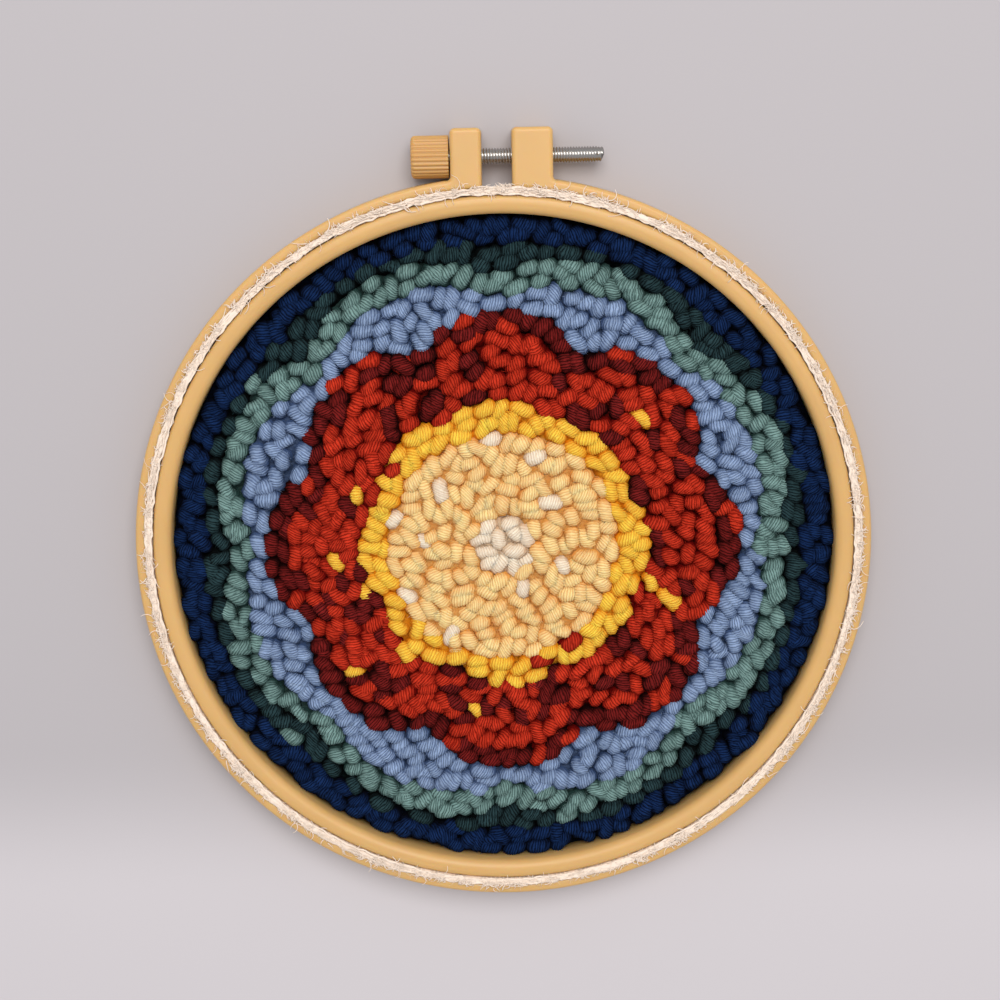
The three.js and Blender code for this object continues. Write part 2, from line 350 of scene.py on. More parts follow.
def plied_yarn(name, rgb, yarn):
    """Soft plied acrylic yarn: round twisted plies with painted shade in the grooves between them and
    down the loops' sides, and a fine hairiness
    """
    material, tree = new_material(f"plied acrylic yarn, {name.replace('_', ' ')}")
    paleness = sum(rgb) / 3
    tone = attribute(tree, "tone")
    spread = add_node(tree, "ShaderNodeUVMap", {"uv_map": "Yarn"})
    parts = add_node(tree, "ShaderNodeSeparateXYZ", inputs={"Vector": spread.outputs["UV"]})
    around, ply = parts.outputs["X"], parts.outputs["Y"]
    ply_width, fibre_width, patch_size = 0.8 * MM, 0.2 * MM, 0.9 * MM
    stretch = 3
    strand = add_node(tree, "ShaderNodeCombineXYZ", inputs={
        "X": calculate(tree, "MULTIPLY", ply, ply_width),
        "Y": calculate(tree, "MULTIPLY", around, TURN * yarn.radius / stretch),
        "Z": calculate(tree, "MULTIPLY", tone, 0.3),
    }).outputs["Vector"]
    fibres = noise(tree, strand, fibre_width, 3, 0.6)
    patches = noise(tree, strand, patch_size, 2)
    wobble = calculate(tree, "MULTIPLY", calculate(tree, "SUBTRACT", patches, 0.5), 1.7)
    order = calculate(tree, "ADD", ply, wobble)
    across_ply = calculate(tree, "MULTIPLY", calculate(tree, "PINGPONG", order, 0.5), math.pi)
    ply_height = calculate(tree, "SINE", across_ply)
    # Painted shade: the grooves between the plies take a darker colour, fainter on pale yarns
    valley = remap(tree, ply_height, (0.2, 0.85), (1, 0), "SMOOTHSTEP")
    depth = remap(tree, fibres, (0.35, 0.65), (0.55 - 0.5 * paleness, 1.0 - 0.6 * paleness))
    line = calculate(tree, "MULTIPLY", valley, depth)
    own_place = add_node(tree, "ShaderNodeCombineXYZ", inputs={
        "X": calculate(tree, "FLOOR", order), "Y": tone}).outputs["Vector"]
    each_ply = add_node(tree, "ShaderNodeTexWhiteNoise", {"noise_dimensions": "2D"}, {
        "Vector": own_place})
    own_tone = blend(tree, "FLOAT", 0.45, tone, each_ply.outputs["Value"])
    mixed = blend(tree, "FLOAT", 0.4, own_tone, fibres)
    pale = tuple(min(1.0, channel * (1.7 - 0.6 * paleness) + 0.004) for channel in rgb)
    # Painted shade colours: a darker one for the grooves between the plies, and a deeper one for the
    # loops' shaded sides and the bed beneath them
    groove_shade_colour = tuple(channel ** (2 - 0.9 * paleness) * (0.42 + 0.5 * paleness) for channel in rgb)
    deep = tuple(channel ** 2 * (0.3 + 0.8 * paleness) for channel in rgb)
    glow = tuple(0.6 + 0.4 * channel / max(rgb) for channel in rgb)
    light = blend(tree, "RGBA", mixed, rgba(rgb, 0.72 + 0.2 * paleness), rgba(pale))
    lined = blend(tree, "RGBA", line, light, rgba(groove_shade_colour))
    height = calculate(tree, "MULTIPLY_ADD", fibres, 0.6, ply_height)
    finish_material(tree, {
        # Painted shade: the colour turns to the deeper shade colour where the stored shade share is high
        "Base Color": blend(tree, "RGBA", attribute(tree, "flank"), lined, rgba(deep)),
        "Roughness": 0.9,
        "Specular IOR Level": 0.08,
        "Subsurface Weight": 0.1 + 0.9 * paleness ** 1.5,
        "Subsurface Radius": glow,
        "Subsurface Scale": (0.2 + 1.2 * paleness) * MM,
        "Sheen Weight": 0.07,
        "Sheen Roughness": 0.5,
        "Sheen Tint": rgba(pale),
        "Normal": relief(tree, height, 1.0 - 0.5 * paleness, 0.3 * MM),
    })
    return material


def matt_board(stage):
    """A plain painted board: matt, with painted light that makes it a little paler towards the viewer"""
    material, tree = new_material("matt painted board")
    parts = add_node(tree, "ShaderNodeSeparateXYZ", inputs={"Vector": object_places(tree)})
    far, near = -60 * MM, -105 * MM
    # Painted light: paler from inside the hoop's outline towards the viewer, lightening the hoop's
    # shadow below its lower edge and the floor in front of it
    painted_light_ramp = remap(tree, parts.outputs["Y"], (far, near), (0, 1), "SMOOTHSTEP")
    tint = blend(tree, "RGBA", painted_light_ramp, rgba(stage.floor), rgba(stage.floor, 1.3))
    finish_material(tree, {"Base Color": tint, "Roughness": 0.9})
    return material


def add_object(name, data):
    """Puts a mesh, a light or a camera in the scene"""
    holder = bpy.data.objects.new(name, data)
    bpy.context.scene.collection.objects.link(holder)
    return holder


def new_piece(name, mesh, material, body, replaced=()):
    """Puts a mesh in the scene as a piece of the object"""
    piece = add_object(name, mesh)
    mesh.materials.append(material)
    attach(piece, body)
    if replaced:
        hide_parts(*replaced)
    return piece


def shade_evenly(piece):
    """Keeps wide flat faces flat in the shading where they meet rounded edges"""
    even = piece.modifiers.new("Even shading", "WEIGHTED_NORMAL")
    even.keep_sharp = True


def mesh_from(bm, name, smooth=True):
    """A mesh from a bmesh, with its faces turned outwards"""
    bmesh.ops.recalc_face_normals(bm, faces=bm.faces)
    for face in bm.faces:
        face.smooth = smooth
    mesh = bpy.data.meshes.new(name)
    bm.to_mesh(mesh)
    bm.free()
    return mesh


def mesh_from_arrays(name, points, face_sets):
    """A mesh from an array of points and arrays of faces, one for each number of corners"""
    mesh = bpy.data.meshes.new(name)
    mesh.vertices.add(len(points))
    mesh.vertices.foreach_set("co", points.astype(np.float32).ravel())
    corners = np.concatenate([faces.ravel() for faces in face_sets])
    totals = np.concatenate([np.full(len(faces), faces.shape[1]) for faces in face_sets])
    starts = np.concatenate(([0], np.cumsum(totals)[:-1]))
    mesh.loops.add(len(corners))
    mesh.loops.foreach_set("vertex_index", corners.astype(np.int32))
    mesh.polygons.add(len(totals))
    mesh.polygons.foreach_set("loop_start", starts.astype(np.int32))
    mesh.polygons.foreach_set("use_smooth", np.ones(len(totals), dtype=bool))
    mesh.update(calc_edges=True)
    return mesh


def store(mesh, name, values):
    """Keeps one number for each point of a mesh"""
    kept = mesh.attributes.new(name, "FLOAT", "POINT")
    kept.data.foreach_set("value", np.ascontiguousarray(values, dtype=np.float32).ravel())


def read_points(mesh, value):
    """The places or the normals of a mesh's points"""
    values = np.empty(len(mesh.vertices) * 3)
    mesh.vertices.foreach_get(value, values)
    return values.reshape(-1, 3)


def around_hoop(turns, radii, heights):
    """Points at angles and distances around the hoop's middle"""
    return np.stack([radii * np.cos(turns), HOOP_Y + radii * np.sin(turns), heights], axis=-1)


def rings_around(centres, across, up, radii):
    """Rings of points around paths, spanned by across and up"""
    sides = radii.shape[-1]
    angles = TURN * np.arange(sides) / sides
    rise = (radii * np.cos(angles))[..., None] * up[..., None, :]
    width = (radii * np.sin(angles))[..., None] * across[..., None, :]
    return centres[..., None, :] + rise + width


def closed_faces(rows, sides):
    """Quads of a grid of points that closes on itself both ways"""
    row = np.arange(rows)[:, None] * sides
    following = np.roll(row, -1, axis=0)
    side = np.arange(sides)[None, :]
    beside = np.roll(side, -1, axis=1)
    corners = [row + side, row + beside, following + beside, following + side]
    return np.stack(corners, axis=-1).reshape(-1, 4)


def tube_faces(tubes, rows, sides):
    """Quads along each tube and the two faces that close its ends"""
    tube = np.arange(tubes)[:, None, None] * rows * sides
    low = tube + np.arange(rows - 1)[None, :, None] * sides
    high = low + sides
    side = np.arange(sides)[None, None, :]
    beside = (side + 1) % sides
    quads = np.stack([low + side, low + beside, high + beside, high + side], axis=-1)
    around = np.arange(sides)[None, :]
    first = tube[..., 0] + around[:, ::-1]
    last = tube[..., 0] + (rows - 1) * sides + around
    return [quads.reshape(-1, 4), np.concatenate([first, last])]


def thin_tubes(paths, radii, sides):
    """Points and faces of thin threads along paths"""
    tangents = np.gradient(paths, axis=1)
    tangents /= np.linalg.norm(tangents, axis=-1, keepdims=True)
    helper = np.array([0.31, 0.22, 0.92])
    across = np.cross(tangents, helper)
    across /= np.linalg.norm(across, axis=-1, keepdims=True)
    up = np.cross(across, tangents)
    tubes, rows = paths.shape[:2]
    ringed = np.broadcast_to(radii[..., None], (tubes, rows, sides))
    points = rings_around(paths, across, up, ringed)
    return points.reshape(-1, 3), tube_faces(tubes, rows, sides)


def add_map(mesh, name, places):
    layer = mesh.uv_layers.new(name=name)
    layer.data.foreach_set("uv", places.astype(np.float32).ravel())


def map_tubes(mesh, tubes, rows, sides, plies):
    """Two maps for tubes: a bake tile for each, and the place around it with its count of plies"""
    tiles = math.ceil(math.sqrt(tubes))
    inset = 0.06
    row = np.arange(rows - 1)[:, None]
    side = np.arange(sides)[None, :]
    around = np.stack([side, side + 1, side + 1, side], axis=-1) / sides
    along = np.stack([row, row, row + 1, row + 1], axis=-1)
    around, along = np.broadcast_arrays(around, along)
    walls = np.stack([around, along / (rows - 1)], axis=-1).reshape(-1, 2) * (1 - 2 * inset) + inset
    corner = np.stack([np.arange(tubes) % tiles, np.arange(tubes) // tiles], axis=-1)
    quads = ((walls[None] + corner[:, None]) / tiles).reshape(-1, 2)
    caps = np.repeat((corner + inset / 2) / tiles, sides, axis=0)
    add_map(mesh, "OFBake", np.concatenate([quads, caps, caps]))
    counts = plies[:, along.reshape(-1)]
    ply_places = np.stack([np.broadcast_to(around.reshape(-1), counts.shape), counts], -1).reshape(-1, 2)
    add_map(mesh, "Yarn", np.concatenate([ply_places, np.zeros((2 * tubes * sides, 2))]))


def arc(centre, radius, start, end, steps):
    """Points on an arc in a plane"""
    turns = np.linspace(start, end, steps + 1)
    return [(centre[0] + radius * math.cos(turn), centre[1] + radius * math.sin(turn)) for turn in turns]


def lug_outline(side, hoop, width):
    """The outline of one lug, from the clamp gap over its top to its outer foot"""
    near = side * hoop.clamp_gap / 2
    far = near + side * width
    foot = math.sqrt(HOOP_RADIUS ** 2 - far ** 2)
    radius, fillet = hoop.lug_round, hoop.lug_fillet
    fillet_share = 0.8
    steps = 6
    gap_side = 0 if side < 0 else math.pi
    foot_side = -QUARTER if side < 0 else 3 * QUARTER
    near_corner = arc((near + side * radius, LUG_TOP - radius), radius, gap_side, QUARTER, steps)
    far_corner = arc((far - side * radius, LUG_TOP - radius), radius, QUARTER, math.pi - gap_side, steps)
    flare = arc((far + side * fillet, foot + fillet * fillet_share), fillet, gap_side, foot_side, steps)
    return near_corner + far_corner + flare


def outer_ring_mesh(hoop):
    """The split outer ring and its lugs: one outline, raised and rounded"""
    past_foot = 0.004
    inside = HOOP_RADIUS - hoop.outer_wall
    gap_turn = math.asin(hoop.clamp_gap / 2 / inside)
    left = lug_outline(-1, hoop, hoop.knob_lug)
    right = lug_outline(1, hoop, hoop.nut_lug)
    left_turn, right_turn = (math.atan2(lug[-1][1], lug[-1][0]) for lug in (left, right))
    inner = arc((0, 0), inside, QUARTER - gap_turn, QUARTER + gap_turn - TURN, HOOP_STEPS)
    outer = arc((0, 0), HOOP_RADIUS, left_turn + past_foot, right_turn + TURN - past_foot, HOOP_STEPS)
    outline = inner + left + outer + right[::-1]
    bm = bmesh.new()
    base = bm.faces.new([bm.verts.new((x, HOOP_Y + y, 0)) for x, y in outline])
    raised = bmesh.ops.extrude_face_region(bm, geom=[base])["geom"]
    top = [item for item in raised if isinstance(item, bmesh.types.BMVert)]
    bmesh.ops.translate(bm, verts=top, vec=(0, 0, RIM_HEIGHT))
    for height, radius, segments in ((RIM_HEIGHT, hoop.rim_round, 5), (0, hoop.back_round, 2)):
        edges = [e for e in bm.edges if all(abs(v.co.z - height) < MM / 100 for v in e.verts)]
        bmesh.ops.bevel(
            bm, geom=edges, offset=radius, segments=segments, profile=0.5, affect="EDGES", material=-1)
    return mesh_from(bm, "hoop outer ring")


def spin_profile(profile, steps, closed=True):
    """A bmesh turned from a profile of radius and height, around the hoop's middle"""
    bm = bmesh.new()
    points = [bm.verts.new((radius, HOOP_Y, height)) for radius, height in profile]
    following = points[1:] + points[:1] if closed else points[1:]
    edges = [bm.edges.new(pair) for pair in zip(points, following)]
    bmesh.ops.spin(
        bm, geom=points + edges, cent=(0, HOOP_Y, 0), axis=(0, 0, 1), angle=TURN, steps=steps,
        use_merge=True)
    return bm


def inner_ring_mesh(hoop):
    """The inner ring: a deep band with a crowned and rounded rim"""
    inside = INNER_OUTSIDE - hoop.inner_wall
    low, high = INNER_LOW.z, INNER_HIGH.z
    back = hoop.back_round
    outer_rim, inner_rim = 1.25 * MM, 2.2 * MM
    crown = 0.12 * MM
    shoulder = high - crown
    profile = [(inside + back, low), (INNER_OUTSIDE - back, low), (INNER_OUTSIDE, low + back)]
    profile += arc((INNER_OUTSIDE - outer_rim, shoulder - outer_rim), outer_rim, 0, QUARTER, 6)
    profile += [((inside + inner_rim + INNER_OUTSIDE - outer_rim) / 2, high)]
    profile += arc((inside + inner_rim, shoulder - inner_rim), inner_rim, QUARTER, 2 * QUARTER, 8)
    profile += [(inside, low + back)]
    return mesh_from(spin_profile(profile, HOOP_STEPS), "hoop inner ring")


def rod_mesh(clamp):
    """The threaded rod: a toothed profile swept once around while it moves on by one pitch"""
    steps = 24
    crest = (ROD_HIGH.z - ROD_LOW.z) / 2
    root = crest - clamp.thread_depth
    turns = int((ROD_HIGH.x - ROD_LOW.x) / clamp.pitch) - 2
    bm = bmesh.new()
    points = []
    for tooth in range(turns):
        start = ROD_LOW.x + tooth * clamp.pitch
        worn = 0.6 if tooth >= turns - 2 else 1
        tip = root + worn * (crest - root)
        for along, height in ((0, root), (0.42, tip), (0.58, tip)):
            points.append(bm.verts.new((start + along * clamp.pitch, ROD_LINE.y, ROD_LINE.z + height)))
    points.append(bm.verts.new((ROD_LOW.x + turns * clamp.pitch, ROD_LINE.y, ROD_LINE.z + root)))
    edges = [bm.edges.new(pair) for pair in zip(points, points[1:])]
    bmesh.ops.spin(
        bm, geom=points + edges, cent=ROD_LINE, axis=(1, 0, 0), angle=TURN, steps=steps,
        dvec=(clamp.pitch / steps, 0, 0), use_merge=False)
    bmesh.ops.remove_doubles(bm, verts=bm.verts, dist=MM / 100)
    bmesh.ops.holes_fill(bm, edges=[e for e in bm.edges if e.is_boundary], sides=0)
    return mesh_from(bm, "clamp rod")


def knob_mesh(clamp):
    """The knob: a fluted bar with rounded ends, drawn out section by section"""
    points_per_flute = 6
    points = clamp.flutes * points_per_flute
    radius = (KNOB_HIGH.z - KNOB_LOW.z) / 2
    sections = []
    for end, inwards, rounding in (
            (KNOB_LOW.x, 1, clamp.knob_round), (KNOB_HIGH.x, -1, clamp.knob_round / 5)):
        for turn in np.linspace(0, QUARTER, 5)[::inwards]:
            place = end + inwards * rounding * (1 - math.cos(turn))
            sections.append((place, 1 - rounding * (1 - math.sin(turn)) / radius))
    bm = bmesh.new()
    ring = []
    place, size = sections[0]
    for point in range(points):
        wave = abs(math.sin(math.pi * point / points_per_flute))
        reach = size * (radius - clamp.flute_depth * (1 - wave))
        turn = TURN * point / points
        ring.append(bm.verts.new(
            (place, ROD_LINE.y + reach * math.cos(turn), ROD_LINE.z + reach * math.sin(turn))))
    edges = [bm.edges.new(pair) for pair in zip(ring, ring[1:] + ring[:1])]
    for next_place, next_size in sections[1:]:
        drawn = bmesh.ops.extrude_edge_only(bm, edges=edges)["geom"]
        ring = [item for item in drawn if isinstance(item, bmesh.types.BMVert)]
        edges = [item for item in drawn if isinstance(item, bmesh.types.BMEdge)]
        bmesh.ops.translate(bm, verts=ring, vec=(next_place - place, 0, 0))
        widen = next_size / size
        bmesh.ops.scale(bm, verts=ring, vec=(1, widen, widen), space=Matrix.Translation(-ROD_LINE))
        place, size = next_place, next_size
    bmesh.ops.holes_fill(bm, edges=[e for e in bm.edges if e.is_boundary], sides=0)
    return mesh_from(bm, "clamp knob")


def cloth_wall():
    """The radius at which the cloth stands up between the rings"""
    return (INNER_OUTSIDE + HOOP_RADIUS - bpy.context.scene.hoop_settings.outer_wall) / 2


def cloth_mesh(cloth):
    """The round of cloth: flat across the back, turned up between the rings to an uneven edge"""
    steps = 2 * HOOP_STEPS
    wall = cloth_wall()
    back = CLOTH_LOW.z + cloth.thickness / 2
    bend = 0.9 * MM
    profile = [(0, back), (wall * 0.5, back), (wall - bend, back)]
    profile += arc((wall - bend, back + bend), bend, -QUARTER, 0, 4)
    profile += [(wall, back + cloth.wall_run * share_up) for share_up in (0.5, 0.85, 1.0)]
    bm = spin_profile(profile, steps, closed=False)
    bmesh.ops.remove_doubles(bm, verts=bm.verts, dist=MM / 100)
    top = back + cloth.wall_run
    for vert in bm.verts:
        if vert.co.z > top - MM / 100:
            turn = math.atan2(vert.co.y - HOOP_Y, vert.co.x)
            wave = math.sin(17 * turn) * math.sin(7.3 * turn + 1) + 0.6 * math.sin(61 * turn)
            vert.co.z += cloth.edge_wave * wave
    return mesh_from(bm, "ground cloth")


class ThreadKind(NamedTuple):
    """One kind of thread that stands out of the frayed edge, with its lengths in millimetres"""
    amount: int
    reach: tuple
    thick: float
    rows: int
    sides: int
    bearing: float
    stray: float
    curl: float
    tufts: int


class FrayedEdge:
    """The cloth's frayed edge, gathered part by part as points, faces and tones"""

    def __init__(self, rng):
        self.rng = rng
        self.wall = cloth_wall()
        self.edge = RIM_HEIGHT - 0.2 * MM
        self.parts = []

    def wander(self, turns):
        """An uneven line around the hoop, made of waves of several lengths"""
        waves = np.array((5, 13, 29, 47, 83, 131, 190))[:, None]
        sizes = self.rng.uniform(0.5, 1, waves.shape)
        return (sizes * np.sin(waves * turns + self.rng.random(waves.shape) * TURN)).sum(0) / 2

    def add_strand(self, rows, sides, thick, middle, spread, flat=1, lift=0):
        """One loosened thread that runs all around the hoop"""
        turns = np.linspace(0, TURN, rows, endpoint=False)
        radii = self.wall + middle + spread * self.wander(turns)
        path = around_hoop(turns, radii, self.edge + lift + thick * 0.3 * self.wander(turns))
        outward = np.stack([np.cos(turns), np.sin(turns), np.zeros(rows)], axis=-1)
        upward = np.broadcast_to(np.array([0, 0, flat]), (rows, 3))
        swell = 1 + 0.15 * self.wander(turns)[:, None] + self.rng.normal(0, 0.16, (rows, sides))
        ring = rings_around(path, outward, upward, thick * swell)
        tones = self.rng.uniform(0.2, 0.8, rows * sides)
        self.parts.append((ring.reshape(-1, 3), [closed_faces(rows, sides)], tones))

    def add_threads(self, kind):
        """Many short threads of one kind, gathered in tufts along the edge"""
        rng = self.rng
        each = (kind.amount, 1)
        along = np.linspace(0, 1, kind.rows)[None, :]
        size = rng.uniform(*kind.reach, each) * MM
        heading = kind.bearing * rng.choice((-1, 1), each) + rng.normal(0, kind.stray, each)
        heading = heading + rng.normal(0, kind.curl, each) * along
        radii = self.wall + rng.normal(0.5, 0.45, each) * MM + size * along * np.cos(heading) * 0.8
        tufts = rng.random(kind.tufts)[rng.integers(kind.tufts, size=each)] * TURN
        roots = tufts + rng.normal(0, 0.006, each)
        turns = roots + size * along * np.sin(heading) / self.wall
        start = self.edge + rng.uniform(0.4, 0.85, each) * MM
        lift = np.minimum(size, 2 * MM) * (rng.uniform(0.1, 0.6, each) * along - 0.45 * along ** 2)
        taper = kind.thick * MM * (1 - 0.45 * along) * rng.uniform(0.7, 1.3, each)
        points, faces = thin_tubes(around_hoop(turns, radii, start + lift), taper, kind.sides)
        tones = rng.random(kind.amount).repeat(len(points) // kind.amount)
        self.parts.append((points, faces, tones))

    def mesh(self):
        points, face_sets, tones = zip(*self.parts)
        starts = np.cumsum([0] + [len(part) for part in points])
        faces = [part + start for parts, start in zip(face_sets, starts) for part in parts]
        mesh = mesh_from_arrays("cloth fray", np.concatenate(points), faces)
        store(mesh, "tone", np.concatenate(tones))
        return mesh


def fray_mesh(cloth):
    """The frayed edge: strands along it, cut ends out of it and a fluff of fine fibres"""
    rng = np.random.default_rng(cloth.seed)
    fray = FrayedEdge(rng)
    fray.add_strand(rows=900, sides=8, thick=0.7 * MM, middle=0.2 * MM, spread=0.12 * MM, flat=0.6)
    for _ in range(cloth.strands):
        thick = rng.uniform(0.17, 0.32) * MM
        middle = rng.uniform(-0.6, 0.85) * MM
        fray.add_strand(rows=700, sides=5, thick=thick, middle=middle, spread=0.26 * MM, lift=0.3 * MM)
    fray.add_threads(ThreadKind(
        cloth.loose_threads, reach=(2.0, 4.5), thick=0.12, rows=7, sides=4, bearing=QUARTER, stray=0.35,
        curl=0.9, tufts=400))
    fray.add_threads(ThreadKind(
        cloth.thread_ends, reach=(0.7, 2.1), thick=0.13, rows=4, sides=4, bearing=0.4, stray=0.7,
        curl=0.9, tufts=340))
    fray.add_threads(ThreadKind(
        cloth.fibres, reach=(0.8, 2.6), thick=0.04, rows=4, sides=3, bearing=0.7, stray=1.0,
        curl=1.3, tufts=900))
    return fray.mesh()


def area_edges(node):
    """The inner and outer radius of a yarn area around the hoop's middle, from its solid's foot"""
    points = read_points(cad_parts[node].data, "co")
    foot = points[points[:, 2] < points[:, 2].min() + MM / 100]
    radii = np.hypot(foot[:, 0], foot[:, 1] - HOOP_Y)
    turns = np.round(np.arctan2(foot[:, 1] - HOOP_Y, foot[:, 0]) % TURN, 4) % round(TURN, 4)
    at_middle = radii < MM
    columns = np.unique(turns[~at_middle])
    inner = np.array([radii[np.isclose(turns, turn) & ~at_middle].min() for turn in columns])
    outer = np.array([radii[np.isclose(turns, turn) & ~at_middle].max() for turn in columns])
    if at_middle.any():
        inner = np.zeros_like(inner)
    return columns, inner, outer


class LoopField:
    """Where every loop stands: its middle, its direction, its area and its yarn"""

    def __init__(self, yarn):
        self.rng = np.random.default_rng(yarn.seed)
        self.edges = [area_edges(f"yarn_{name}") for name in YARNS]
        self.half = yarn.half_span
        self.radius = yarn.radius
        self.scatter(yarn.area)
        self.settle()
        self.choose_yarns()

    def radii_at(self, turns, areas):
        """The inner and outer edge of each point's own area at its angle"""
        low = np.zeros_like(turns)
        high = np.zeros_like(turns)
        for area, (columns, inner, outer) in enumerate(self.edges):
            here = areas == area
            low[here] = np.interp(turns[here], columns, inner, period=TURN)
            high[here] = np.interp(turns[here], columns, outer, period=TURN)
        return low, high

    def scatter(self, loop_area):
        """Drops enough loops at random into each area"""
        middles, areas = [], []
        for area, (_, inner, outer) in enumerate(self.edges):
            size = math.pi * np.mean(outer ** 2 - inner ** 2)
            amount = max(1, round(size / loop_area))
            draws = amount * 30
            inside = ()
            while len(inside) < amount:
                turns = self.rng.random(draws) * TURN
                radii = PILE_RADIUS * np.sqrt(self.rng.random(draws))
                low, high = self.radii_at(turns, np.full(draws, area))
                inside = np.flatnonzero((radii > low) & (radii < high))
                draws *= 2
            turns, radii = turns[inside[:amount]], radii[inside[:amount]]
            middles.append(np.stack([radii * np.cos(turns), radii * np.sin(turns)], -1))
            areas.append(np.full(amount, area))
        self.middles = np.concatenate(middles)
        self.areas = np.concatenate(areas)
        turns = np.arctan2(self.middles[:, 1], self.middles[:, 0])
        self.turns = turns + QUARTER + 0.5 + self.rng.normal(0, 0.6, len(turns))

    def settle(self):
        """Pushes the loops apart and off the edges of their areas until they lie side by side"""
        rounds, refresh = 300, 12
        push_share, turn_share, return_share = 0.3, 0.3, 0.04
        amount = len(self.middles)
        owner = np.tile(np.arange(amount), 2)
        areas = self.areas[owner]
        at_ring = areas == YARNS.index("navy")
        inner_gap = self.radius * 0.5
        outer_gap = np.where(at_ring, self.radius * 1.2, inner_gap)
        wanted = self.turns.copy()
        for step in range(rounds):
            reach = 2 * self.radius * (1.25 - 0.25 * min(1, step / (rounds * 0.7)))
            axis = np.stack([np.cos(self.turns), np.sin(self.turns)], -1) * self.half
            legs = np.concatenate([self.middles - axis, self.middles + axis])
            if step % refresh == 0:
                first, second = self.near_pairs(legs, owner, reach * 1.5)
            gap = legs[first] - legs[second]
            distance = np.hypot(gap[:, 0], gap[:, 1]) + MM / 1000
            force = gap * (push_share * np.maximum(reach - distance, 0) / distance)[:, None]
            push = np.stack([
                np.bincount(first, part, 2 * amount) - np.bincount(second, part, 2 * amount)
                for part in force.T], -1)
            radii = np.hypot(legs[:, 0], legs[:, 1])
            low, high = self.radii_at(np.arctan2(legs[:, 1], legs[:, 0]) % TURN, areas)
            low = np.where(low > 0, low + inner_gap, 0)
            high = np.maximum(high - outer_gap, low)
            push += legs / np.maximum(radii, MM)[:, None] * (np.clip(radii, low, high) - radii)[:, None]
            self.middles += (push[:amount] + push[amount:]) / 2
            across = np.stack([-axis[:, 1], axis[:, 0]], -1)
            twist = ((push[amount:] - push[:amount]) * across).sum(-1) / (2 * self.half ** 2)
            self.turns += twist * turn_share
            self.turns += return_share * np.sin(wanted - self.turns)

    def places(self, members):
        """The middles of some loops, on the hoop"""
        flat = self.middles[members]
        return np.stack([flat[:, 0], HOOP_Y + flat[:, 1], np.zeros(len(members))], -1)[:, None, :]

    def near_pairs(self, legs, owner, reach):
        """Pairs of legs of different loops that stand within reach of each other"""
        spots = legs.astype(np.float32)
        apart = np.hypot(spots[:, None, 0] - spots[None, :, 0], spots[:, None, 1] - spots[None, :, 1])
        first, second = np.nonzero(np.triu(apart < reach, 1))
        other = owner[first] != owner[second]
        return first[other], second[other]

    def choose_yarns(self):
        """Works most loops in their area's own yarn, and a few in a neighbouring one"""
        self.yarns = self.areas.copy()
        for name, strays in STRAY_YARNS.items():
            members = np.flatnonzero(self.areas == YARNS.index(name))
            draws = self.rng.random(len(members))
            bottom = 0.0
            for stray, part in strays.items():
                picked = members[(draws >= bottom) & (draws < bottom + part)]
                self.yarns[picked] = YARNS.index(stray)
                bottom += part


# Degrees from the top around a loop's yarn, closer together on the side that shows
LOOP_SIDES = (-120, -80, -40, 0, 40, 80, 120, 180)

# Steps between the seeds of the kinds of pieces, so that each has its own random draws
SEED_STEPS = {"loops": 100, "stitches": 200, "bed": 300, "fuzz": 400}


def draws_for(kind, name, yarn):
    return np.random.default_rng(yarn.seed + SEED_STEPS[kind] + YARNS.index(name))


def upright_frames(turns):
    """For each loop its direction, the direction across it, and straight up"""
    direction = np.stack([np.cos(turns), np.sin(turns), np.zeros(len(turns))], -1)[:, None, :]
    across = np.stack([direction[..., 1], -direction[..., 0], direction[..., 2]], -1)
    return direction, across, np.array([0, 0, 1.0])


def fuzz_mesh(name, yarn, loops, amount):
    """Fine fibres that stand out of one yarn's loops"""
    rng = draws_for("fuzz", name, yarn)
    rows, sides = 2, 3
    lowest_root = PILE_FOOT + 3.5 * MM
    thick, sunk = 0.08 * MM, 0.1 * MM
    points, normals = read_points(loops, "co"), read_points(loops, "normal")
    upper = np.flatnonzero((normals[:, 2] > 0.1) & (points[:, 2] > lowest_root))
    roots = rng.choice(upper, amount)
    along = np.linspace(0, 1, rows)[None, :, None]
    size = rng.uniform(0.35, 0.85, (amount, 1, 1)) * MM
    heading = normals[roots][:, None, :] * 0.45 + rng.normal(0, 0.6, (amount, 1, 3))
    heading /= np.linalg.norm(heading, axis=-1, keepdims=True)
    bend = rng.normal(0, 0.35, (amount, 1, 3))
    start = (points[roots] - normals[roots] * sunk)[:, None, :]
    paths = start + size * (heading * along + bend * along ** 2)
    radii = thick * (1 - 0.7 * along[..., 0]) * np.ones((amount, 1))
    tubes, faces = thin_tubes(paths, radii, sides)
    mesh = mesh_from_arrays(f"fuzz {name}", tubes, faces)
    store(mesh, "flank", np.zeros(len(tubes)))
    store(mesh, "tone", np.full(len(tubes), 0.9))
    map_tubes(mesh, amount, rows, sides, np.full((amount, rows), 0.5))
    return mesh


